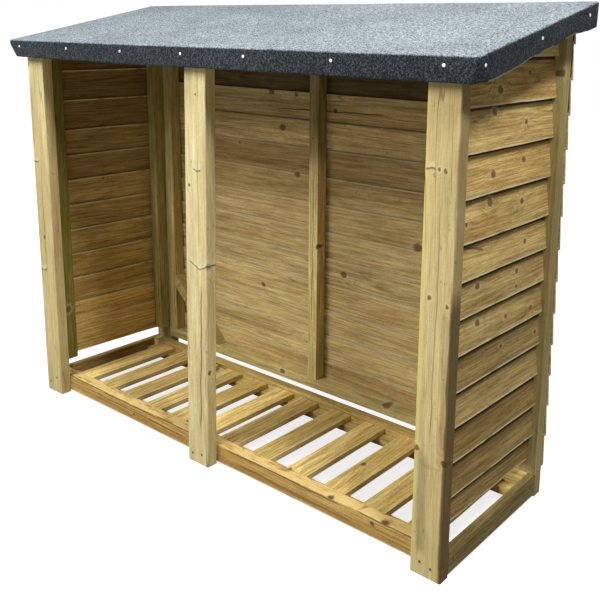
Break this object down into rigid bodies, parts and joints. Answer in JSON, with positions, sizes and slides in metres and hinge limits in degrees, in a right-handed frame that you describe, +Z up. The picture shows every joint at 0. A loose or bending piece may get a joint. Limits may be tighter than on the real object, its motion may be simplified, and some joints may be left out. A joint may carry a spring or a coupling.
{
  "type": "open-fronted log store",
  "caption": "Open-fronted timber log store with a slatted floor, lapped-board walls and a felted roof that slopes down to the front.",
  "frame": {"origin": "on the ground under the middle of the roof's outline", "axes": "+X along the open front, to the right when facing it; +Y from the front to the back; +Z up"},
  "size_m": [1.941, 0.638, 1.492],
  "materials": {
    "post": "planed pressure-treated softwood, satin",
    "base_rail": "sawn pressure-treated softwood, matte",
    "floor_slat": "sawn pressure-treated softwood, matte",
    "stud": "sawn pressure-treated softwood, matte",
    "side_board": "sawn feather-edge softwood boards, matte",
    "back_board": "sawn feather-edge softwood boards, matte",
    "roof_board": "sawn softwood, matte",
    "roof_felt": "mineral-faced bitumen sheet, matte"
  },
  "bodies": {
    "root": {"front_left_post": "post", "front_middle_post": "post", "front_right_post": "post", "rear_left_post": "post", "rear_right_post": "post", "base_front_rail": "base_rail", "base_rear_rail": "base_rail", "base_left_rail": "base_rail", "base_right_rail": "base_rail", "front_slat_ledger": "base_rail", "rear_slat_ledger": "base_rail", "left_bay_slats": "floor_slat", "right_bay_slats": "floor_slat", "left_front_stud": "stud", "left_rear_stud": "stud", "right_front_stud": "stud", "right_rear_stud": "stud", "back_left_stud": "stud", "back_centre_stud": "stud", "back_right_stud": "stud", "back_bottom_rail": "stud", "back_top_rail": "stud", "back_corner_brace": "stud", "left_cladding": "side_board", "right_cladding": "side_board", "back_cladding": "back_board", "roof_deck": "roof_board", "roof_front_batten": "roof_board", "roof_left_batten": "roof_board", "roof_right_batten": "roof_board", "roof_felt": "roof_felt"}
  },
  "joints": []
}
